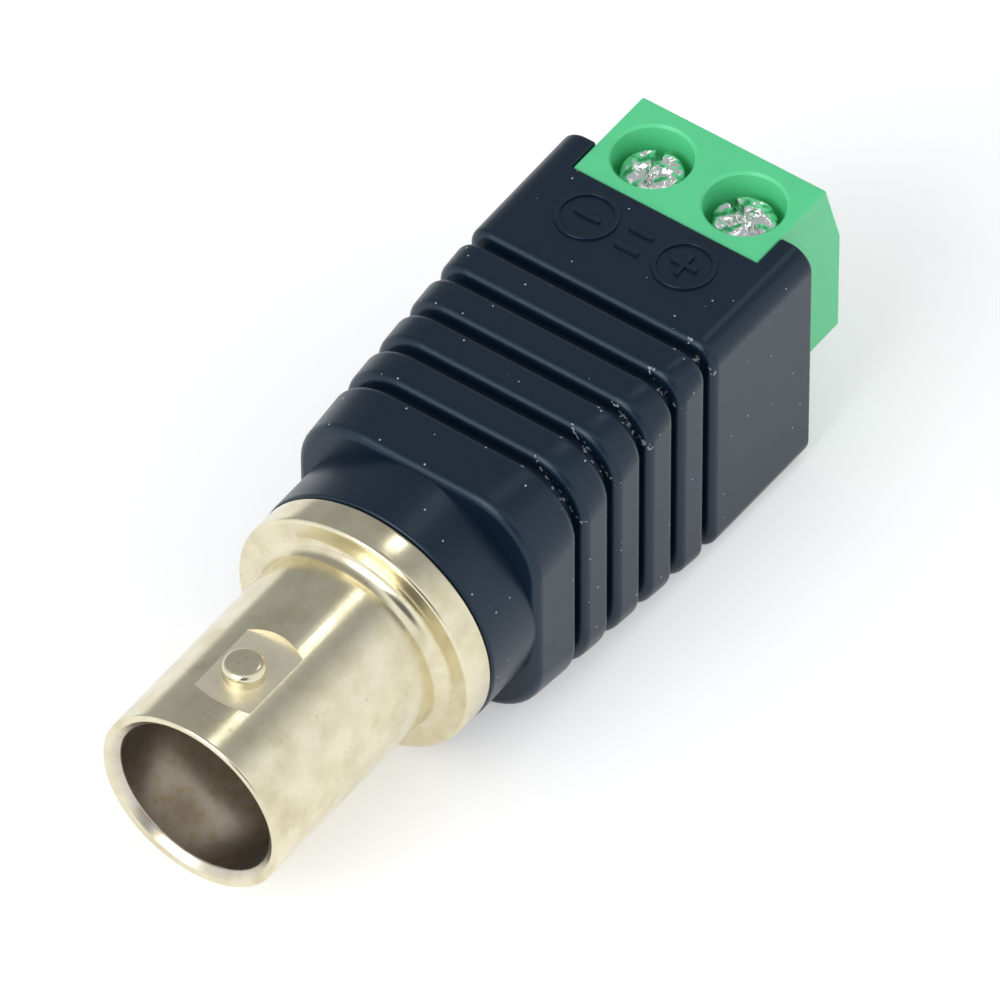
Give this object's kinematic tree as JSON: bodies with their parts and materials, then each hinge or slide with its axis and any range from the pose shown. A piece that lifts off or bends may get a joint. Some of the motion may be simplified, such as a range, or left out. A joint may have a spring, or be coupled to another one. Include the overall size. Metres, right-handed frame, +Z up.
{
  "type": "coaxial bayonet socket to screw terminal adapter",
  "caption": "Female bayonet coaxial socket on a black ribbed housing, with a green screw terminal block at the other end for bare wires.",
  "frame": {"origin": "centre of the socket's open end, on the socket's axis", "axes": "+X along the adapter from the socket's mouth to the terminal's wire entries, +Y towards the negative pole, +Z up to the screw heads"},
  "size_m": [0.0426, 0.0138, 0.0135],
  "materials": {
    "black_housing": "fine satin moulded plastic",
    "nickel_plate": "nickel plated, bright",
    "insulator": "natural white dielectric",
    "contact_brass": "thin gold flash on brass",
    "tinned_brass": "tin plated",
    "green_moulding": "satin green moulded plastic",
    "zinc_screw": "bright zinc plated",
    "cage_steel": "zinc plated",
    "wire_copper": "stranded copper",
    "jacket_red": "red wire jacket",
    "jacket_black": "black wire jacket",
    "solder": "smooth solder"
  },
  "bodies": {
    "adapter": {"housing": "black_housing", "bnc_shell": "nickel_plate", "front_insulator": "insulator", "rear_insulator": "insulator", "centre_contact": "contact_brass", "ground_tag": "tinned_brass", "terminal_body": "green_moulding", "terminal_cover": "green_moulding", "contact_solder": "solder", "tag_solder": "solder", "current_bar_positive": "tinned_brass", "wire_core_positive": "wire_copper", "wire_jacket_positive": "jacket_red", "bar_solder_positive": "solder", "current_bar_negative": "tinned_brass", "wire_core_negative": "wire_copper", "wire_jacket_negative": "jacket_black", "bar_solder_negative": "solder"},
    "positive_screw": {"clamp_screw_positive": "zinc_screw"},
    "negative_screw": {"clamp_screw_negative": "zinc_screw"},
    "positive_cage": {"clamp_cage_positive": "cage_steel"},
    "negative_cage": {"clamp_cage_negative": "cage_steel"}
  },
  "joints": [
    {"name": "positive_screw_turn", "type": "hinge", "parent": "adapter", "child": "positive_screw", "pos_m": [0.03865, -0.00254, 0.0058], "axis": [0, 0, -1], "range_deg": [0, 1440]},
    {"name": "positive_cage_lift", "type": "slide", "parent": "adapter", "child": "positive_cage", "axis": [0, 0, 1], "range_m": [0, 0.0018]},
    {"name": "negative_screw_turn", "type": "hinge", "parent": "adapter", "child": "negative_screw", "pos_m": [0.03865, 0.00254, 0.0058], "axis": [0, 0, -1], "range_deg": [0, 1440]},
    {"name": "negative_cage_lift", "type": "slide", "parent": "adapter", "child": "negative_cage", "axis": [0, 0, 1], "range_m": [0, 0.0018]}
  ],
  "couplings": [
    {"joint": "positive_screw_turn", "follows": "positive_cage_lift", "rad_per_m": 13963},
    {"joint": "negative_screw_turn", "follows": "negative_cage_lift", "rad_per_m": 13963}
  ]
}
